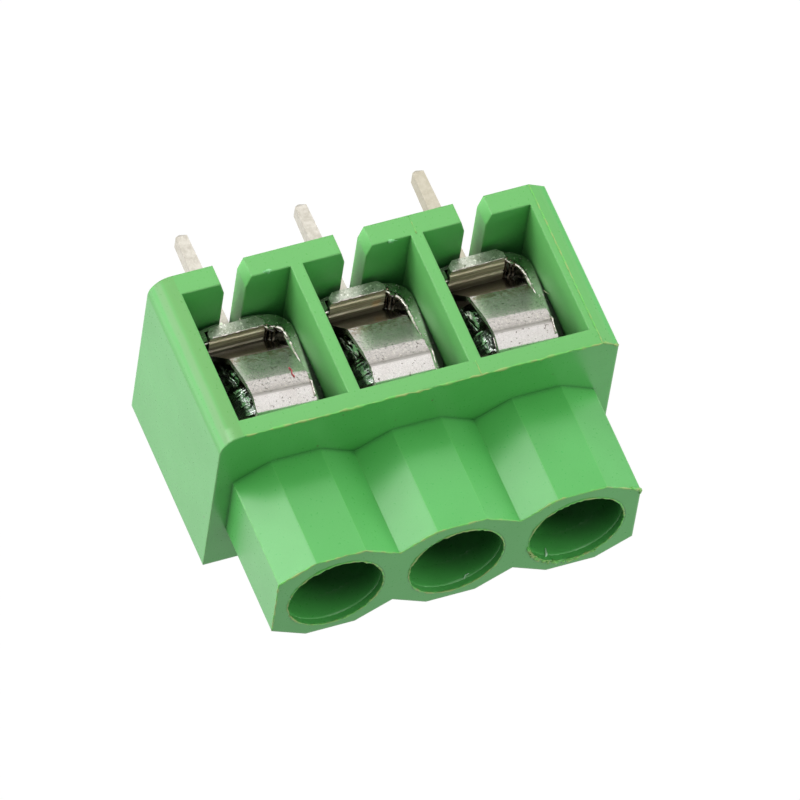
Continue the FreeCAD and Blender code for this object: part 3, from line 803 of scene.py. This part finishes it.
def dull_tin():
    """Flecked tin on the face, warm streaks on the top, dull tin on the pin."""
    finish = Finish("dull_tin", metallic=1.0)
    place = finish.place()
    mottle = finish.noise(place, 3.5, 4.0, 0.7)
    fine = finish.noise(place, 14.0, 3.0)
    plated = finish.blend(mottle.ramp(0.35, 0.65), (0.50, 0.51, 0.45), (0.32, 0.34, 0.27))
    flecks = finish.noise(place, 9.0, 3.0, 0.7)
    plated = finish.blend(flecks.ramp(0.58, 0.64), plated, (0.80, 0.79, 0.72))
    plated = finish.blend(flecks.ramp(0.40, 0.34), plated, (0.12, 0.14, 0.09))
    dull = finish.blend(mottle.ramp(0.35, 0.65), (0.60, 0.57, 0.51), (0.49, 0.46, 0.40))
    yellowed = finish.axis(place, "X").fade(2.0, 3.0)
    dull = finish.blend(yellowed * 0.5, dull, (0.46, 0.42, 0.30))
    below = finish.axis(place, "Z").fade(PIN_START, PIN_START - 0.4)
    upright = finish.axis(finish.facing(), "Z").ramp(0.35, 0.6)
    streaks = finish.noise(finish.stretched(place, 0.05, 1.0, 1.0), 12.0, 3.0, 0.7)
    warm = finish.blend(streaks.ramp(0.38, 0.62), (1.0, 0.90, 0.68), (0.60, 0.51, 0.34))
    # Painted shadow: the top is painted dark behind, where it runs in under the guard.
    far_in = finish.axis(place, "Y").fade(TOP_LIT, TOP_DARK)
    warm = finish.blend(far_in * 0.7, warm, (0.07, 0.055, 0.035))
    warm = finish.blend(finish.near(place, TIN_SPOT, 0.3, 0.4) * 0.7, warm, (0.85, 0.55, 0.28))
    finish.show("Base Color", finish.blend(upright, finish.blend(below, plated, dull), warm))
    finish.show("Metallic", 1 - upright * 0.75)
    finish.show("Roughness", 0.34 + (fine - 0.5) * 0.16 + below * 0.2)
    finish.show("Normal", finish.bump(fine, 0.003, finish.bump(streaks * upright, 0.02)))
    return finish.material


TIN = dull_tin()
print("made", TIN.name)

# %% [markdown]
# The screw is the brightest metal of the part. Turned steel is never quite even, so two
# bumps lie over each other: a fine one for the tool's marks and a broad one for waves.

# %% Bright steel of the screws
def bright_steel():
    finish = Finish("bright_steel", metallic=1.0)
    place = finish.place()
    mottle = finish.noise(place, 1.0, 4.0)
    fine = finish.noise(place, 14.0, 3.0)
    colour = finish.blend(mottle.ramp(0.35, 0.7), (0.84, 0.88, 0.85), (0.60, 0.64, 0.61))
    finish.show("Base Color", colour)
    finish.show("Roughness", 0.18 + (fine - 0.5) * 0.1)
    waves = finish.noise(place, 3.0, 2.0)
    finish.show("Normal", finish.bump(fine, 0.004, finish.bump(waves, 0.05)))
    return finish.material


SCREW = bright_steel()
print("made", SCREW.name)

# %% [markdown]
# Housing, cages and contacts keep their solids: those already have the right shape, so
# they only change their material.

# %% Finishes on the solids
def coat(node, material):
    """Give a solid of the part its finish."""
    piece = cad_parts[node]
    piece.data.materials.clear()
    piece.data.materials.append(material)


coat("housing", PLASTIC)
for pole in POLES:
    coat(f"cage_{pole}", CAGE)
    coat(f"contact_pin_{pole}", TIN)
print("coated", len(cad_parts), "solids")

# %% [markdown]
# Each wire guard's leaf stands a little askew, and its bend is sharper than a plain
# radius would make it. So each is folded anew from its outline: the skin's corners are
# rounded, the lining runs parallel at the sheet's thickness, and the leaf is skewed about
# its middle, its waist is shifted, and then the whole leaf. A sheet with a Solidify
# modifier would do too, but the nibbled edges move each corner of the section by itself.
# The plate with its hole stays plain.

# %% Wire guards
SHEET = 0.22
LEAF_WIDTH = 2.5
LEAF_SKIN = [(2.75, 6.74), (0.78, 6.74), (0.43, GUARD_BEND), (0.57, 5.3), (1.42, 3.5), (3.4, 1.72),
             (5.7, 1.72)]
SKIN_BENDS = [0.3, 0.1, 1.2, 0.5, 0.4]
LINING_BENDS = [0.08, 0.04, 1.2, 0.3, 0.2]
LEAF_SKEW = {1: (0.085, 0.10, 0.02), 2: (0.05, 0.10, -0.10), 3: (0.085, 0.06, 0.02)}
LEAF_ROOT = 1.4
ROOT_RUN = 0.6
LEAN_RUN = 2.5
NIBBLE = 0.02


def parallel_line(line, thickness):
    """The line that runs beside a bent line on its right, at an even distance."""
    runs = [(b - a).normalized() for a, b in zip(line, line[1:])]
    result = []
    for index, point in enumerate(line):
        before = runs[max(index - 1, 0)]
        after = runs[min(index, len(runs) - 1)]
        middle = (before + after).normalized()
        result.append(point + Vector((middle.y, -middle.x)) * (thickness / middle.dot(before)))
    return result


def rounded_line(line, radii, steps=6):
    """A bent line with an arc of the given radius in each corner."""
    result = [line[0]]
    for before, corner, after, radius in zip(line, line[1:], line[2:], radii):
        back = (before - corner).normalized()
        on = (after - corner).normalized()
        reach = radius / math.tan(back.angle(on) / 2)
        for step in range(steps + 1):
            share = step / steps
            start, end = corner + back * reach, corner + on * reach
            result.append(start.lerp(corner, share).lerp(corner.lerp(end, share), share))
    return result + [line[-1]]


def clamped(share):
    """A share kept between 0 and 1."""
    return min(max(share, 0.0), 1.0)


def fold_guard(pole, across=14):
    """One guard's leaf: its section swept across, skewed and shifted where it stands free."""
    skew, waist_shift, whole_shift = LEAF_SKEW[pole]
    chance = random.Random(50 + pole)
    skin = [Vector((REAR - depth, height)) for depth, height in LEAF_SKIN]
    lining = parallel_line(skin, SHEET)
    outside = rounded_line(skin, SKIN_BENDS)
    inside = rounded_line(lining, LINING_BENDS)
    loop = outside + list(reversed(inside))
    nibbles = [[chance.uniform(-NIBBLE, NIBBLE) for _ in loop] for _ in range(2)]
    bm = bmesh.new()
    rings = []
    for column in range(across + 1):
        share = column / across
        x = (share - 0.5) * LEAF_WIDTH
        ring = []
        for index, (y, z) in enumerate(loop):
            edge = nibbles[0][index] if column == 0 else nibbles[1][index] if column == across else 0
            stands = clamped((y - LEAF_ROOT) / ROOT_RUN)
            lean = clamped((GUARD_BEND - z) / LEAN_RUN) * stands
            there = Vector((pole_place(pole) + x + edge * stands + whole_shift * stands
                            + waist_shift * lean, y - skew * x * stands, z))
            ring.append(bm.verts.new(there * MM))
        rings.append(ring)
    skin_rings(bm, rings)
    bmesh.ops.recalc_face_normals(bm, faces=bm.faces)
    return finished(f"folded_guard_{pole}", bm)


print("leaf outline has", len(LEAF_SKIN), "corners")

# %% Cutting and joining
def block(name, centre, size, turn=0.0):
    """A plain box in mm, turned about Z."""
    bm = bmesh.new()
    bmesh.ops.create_cube(bm, size=1.0)
    bmesh.ops.scale(bm, vec=Vector(size) * MM, verts=bm.verts)
    bmesh.ops.rotate(bm, matrix=Matrix.Rotation(math.radians(turn), 3, "Z"), verts=bm.verts)
    bmesh.ops.translate(bm, vec=Vector(centre) * MM, verts=bm.verts)
    return finished(name, bm)


def pillar(name, x, y, radius, low, high, sides=72):
    """A plain upright cylinder in mm."""
    return tube(name, [Vector((x, y, low)), Vector((x, y, high))], [radius, radius], sides)


def combine(piece, tool, how):
    """Join a tool to a piece, or take it away, and remove the tool."""
    change = piece.modifiers.new(how.lower(), "BOOLEAN")
    change.object = tool
    change.operation = how
    change.solver = "EXACT"
    view = bpy.context.evaluated_depsgraph_get()
    done = bpy.data.meshes.new_from_object(piece.evaluated_get(view))
    piece.modifiers.clear()
    piece.data = done
    bpy.data.objects.remove(tool)


def dress(piece, material, sharp=35.0):
    """Give a piece its finish, smooth but for the edges sharper than an angle."""
    piece.data.materials.clear()
    piece.data.materials.append(material)
    piece.data.shade_smooth()
    piece.data.set_sharp_from_angle(angle=math.radians(sharp))


print("solids can be cut and joined")

# %% Folded guards
PLATE_HEIGHT = 6.63
PLATE_SIZE = (4.0, 4.1, SHEET)
PLATE_HOLE = 1.6
HOLE_SPAN = (6.0, 7.4)
for pole in POLES:
    guard = fold_guard(pole)
    plate = block("plate", (pole_place(pole), SCREW_LINE, PLATE_HEIGHT), PLATE_SIZE)
    combine(guard, plate, "UNION")
    hole = pillar("hole", pole_place(pole), SCREW_LINE, PLATE_HOLE, *HOLE_SPAN)
    combine(guard, hole, "DIFFERENCE")
    dress(guard, GUARD)
    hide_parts(f"wire_guard_{pole}")
    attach(guard, "terminal")
print("folded", len(POLES), "guards")

# %% [markdown]
# The cage's strap was sheared, so a bright burr stands on the inner edge of its rear
# face, and where it was folded round the contact's right end the metal lies in creases,
# drawn as dark tubes: painted shade. A finer burr stands on the cut right edge of each
# guard's leaf. Fibres of dust lie on the first leaf and beside the third.

# %% Burrs and folds
CAGE_REAR = 1.61
CONTACT_RIMS = {1: 1.8, 2: 2.08, 3: 2.14}
CREST_HEIGHT = 1.69
SHEARED = {1: 0.14, 2: 0.08, 3: 0.10}
INNER_EDGE = [(1.2, 1.72), (1.42, 1.76), (1.62, 1.97), (1.71, 2.4), (1.72, 3.2), (1.72, 4.6)]
FOLD_STARTS = [(1.2, 1.66), (1.33, 1.74), (1.47, 1.8)]
FOLD_STEP = 0.12
for pole in POLES:
    middle = pole_place(pole)
    rim = CONTACT_RIMS[pole]
    right = [(middle + x + SHEARED[pole], CAGE_REAR, z) for x, z in INNER_EDGE]
    left = [(middle - x, CAGE_REAR, z) for x, z in INNER_EDGE]
    ragged_line(f"burr_corner_{pole}", right[1:4], 0.10, 0.3, 50 + pole, BURR, 0.09)
    ragged_line(f"burr_right_{pole}", right, 0.055, 0.4, 60 + pole, BURR, 0.09)
    ragged_line(f"burr_left_{pole}", left, 0.06, 0.6, 70 + pole, BURR, 0.09)
    crest = [(middle - 1.13, rim - 0.01, CREST_HEIGHT), (middle + 1.15, rim - 0.01, CREST_HEIGHT)]
    ragged_line(f"burr_crest_{pole}", crest, 0.032, 0.6, 80 + pole, BURR, 0.12)
    spur = [(middle + 1.1, rim - 0.03, 1.7), (middle + 1.25, rim - 0.12, 1.86),
            (middle + 1.42, rim - 0.3, 1.82)]
    ragged_line(f"burr_spur_{pole}", spur, 0.06, 0.7, 90 + pole, BURR, 0.07)
    # Each fold is a dark tube: painted shade in the crease.
    for count, (x, z) in enumerate(FOLD_STARTS):
        fold = [(middle + x, rim - FOLD_STEP * count - 0.05, z), (middle + x + 0.03, 1.1, z + 0.04),
                (middle + x - 0.02, 0.6, z)]
        ragged_line(f"fold_{pole}_{count + 1}", fold, 0.06, 0.5, 100 + 3 * pole + count, FOLD_SHADE,
                    0.1)
print("burrs and folds laid on", len(POLES), "cages")

# %% Cut edges and dust
for pole in POLES:
    x = pole_place(pole) + LEAF_WIDTH / 2 - 0.02
    cut = [(x + 0.03, 3.53, 5.55), (x + 0.02, 3.74, 5.95), (x, 3.5, 6.5)]
    ragged_line(f"burr_cut_{pole}", cut, 0.03, 0.4, 140 + pole, BURR, 0.1)
fibre = [(-4.25, 3.41, 4.88), (-4.22, 3.51, 5.1), (-4.3, 3.59, 5.28), (-4.27, 3.65, 5.5)]
ragged_line("dust_fibre_1", fibre, 0.025, 0.3, 120, RED_FIBRE, 0.06)
fibre = [(7.2, 1.6, 3.25), (7.18, 1.75, 3.45), (7.22, 1.95, 3.7)]
ragged_line("dust_fibre_3", fibre, 0.016, 0.3, 121, PALE_FIBRE, 0.06)
print("cut edges and dust laid")

# %% [markdown]
# The screws are plain cylinders in the solids. Here each is turned anew: a plain bulged
# point, a groove where the thread runs out, a thread of half a millimetre pitch, and a
# cheese head with its slot. The thread's flanks follow a helix: the height of a point
# on its turn decides how deep the flank is there. A sweep along a helix would also do,
# but rings need no cutting. Down each point runs a raised line, ragged as above, painted
# near white: a painted glint.

# %% Screw threads
SCREW_TIPS = {1: 2.0, 2: 2.06, 3: 2.2}
CREST = 1.45
ROOT = 1.13
THREAD_PITCH = 0.5
THREAD_STEPS = 14
THREAD_FLAT = 0.12
THREAD_FLANK = 0.68
POINT = [(0.0, 0.82), (0.04, 0.96), (0.12, 1.05), (0.3, 1.09), (0.5, 1.07), (0.75, 1.0)]
NECK = [(-0.3, 0.93), (-0.16, 0.9), (-0.02, 0.93)]
HEAD = [(-0.04, 1.3), (0.0, 1.3), (0.0, 1.64), (0.08, 1.72), (1.6, 1.72), (1.74, 1.62), (1.8, 1.47)]
POINT_LENGTH = 1.3
SHANK_LENGTH = 4.3
RUN_OUT = 0.35
RISE = 0.25


def thread_depth(phase):
    """0 on the crest, 1 at the root, for a phase from 0 to 1 along one pitch."""
    off_crest = abs(phase - 0.5) * 2
    return clamped((off_crest - THREAD_FLAT) / THREAD_FLANK)


def screw_rings(tip):
    """Heights, plain radii and shares of the thread for the rings of one screw."""
    neck = tip + POINT_LENGTH
    start = neck + 0.1
    shoulder = neck + SHANK_LENGTH
    rings = [(tip + rise, radius, 0) for rise, radius in POINT]
    rings += [(neck + rise, radius, 0) for rise, radius in NECK] + [(start, ROOT, 0)]
    step = THREAD_PITCH / THREAD_STEPS
    count = int((shoulder - start - 0.1) / step)
    for index in range(1, count):
        height = start + index * step
        share = min((height - start) / RUN_OUT, (shoulder - height) / RUN_OUT, 1.0)
        swell = min((height - start) / RISE, 1.0)
        rings.append((height, ROOT + (CREST - ROOT) * swell, share))
    return rings + [(shoulder + rise, radius, 0) for rise, radius in HEAD]


def turned_screw(pole, sides=72):
    """One screw without its slot, skinned ring by ring."""
    bm = bmesh.new()
    rings = []
    for height, radius, share in screw_rings(SCREW_TIPS[pole]):
        ring = []
        for side in range(sides):
            turn = side / sides
            depth = share * thread_depth((height / THREAD_PITCH - turn) % 1.0)
            reach = radius - min(depth * (CREST - ROOT), max(radius - ROOT, 0.0))
            angle = 2 * math.pi * turn
            there = Vector((pole_place(pole) + reach * math.cos(angle),
                            SCREW_LINE + reach * math.sin(angle), height))
            ring.append(bm.verts.new(there * MM))
        rings.append(ring)
    skin_rings(bm, rings)
    return finished(f"turned_screw_{pole}", bm)


print("rings of one screw:", len(screw_rings(SCREW_TIPS[1])))

# %% Screws
SLOT_TURNS = {1: 24.0, 2: 71.0, 3: -38.0}
SLOT_SIZE = (4.0, 0.8, 1.8)
SCREW_LENGTH = POINT_LENGTH + SHANK_LENGTH + HEAD[-1][0]
GLINT_LINES = {1: [(-0.74, 0.36, 2.07), (-0.59, 0.43, 2.6), (-0.44, 0.39, 3.2)],
          2: [(-0.75, 0.36, 2.12), (-0.665, 0.395, 2.65), (-0.56, 0.33, 3.3)],
          3: [(-0.785, 0.32, 2.26), (-0.67, 0.37, 2.85), (-0.54, 0.33, 3.5)]}
for pole in POLES:
    # Each screw point carries a raised line painted near white: a painted glint.
    glint_line = [(pole_place(pole) + x, y, z) for x, y, z in GLINT_LINES[pole]]
    ragged_line(f"score_{pole}", glint_line, 0.075, 0.8, 130 + pole, SHINE, 0.12,
                f"screw_{pole}_body")
    screw = turned_screw(pole)
    crown = SCREW_TIPS[pole] + SCREW_LENGTH
    slot = block("slot", (pole_place(pole), SCREW_LINE, crown), SLOT_SIZE, SLOT_TURNS[pole])
    combine(screw, slot, "DIFFERENCE")
    dress(screw, SCREW)
    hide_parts(f"screw_{pole}")
    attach(screw, f"screw_{pole}_body")
print("turned", len(POLES), "screws")
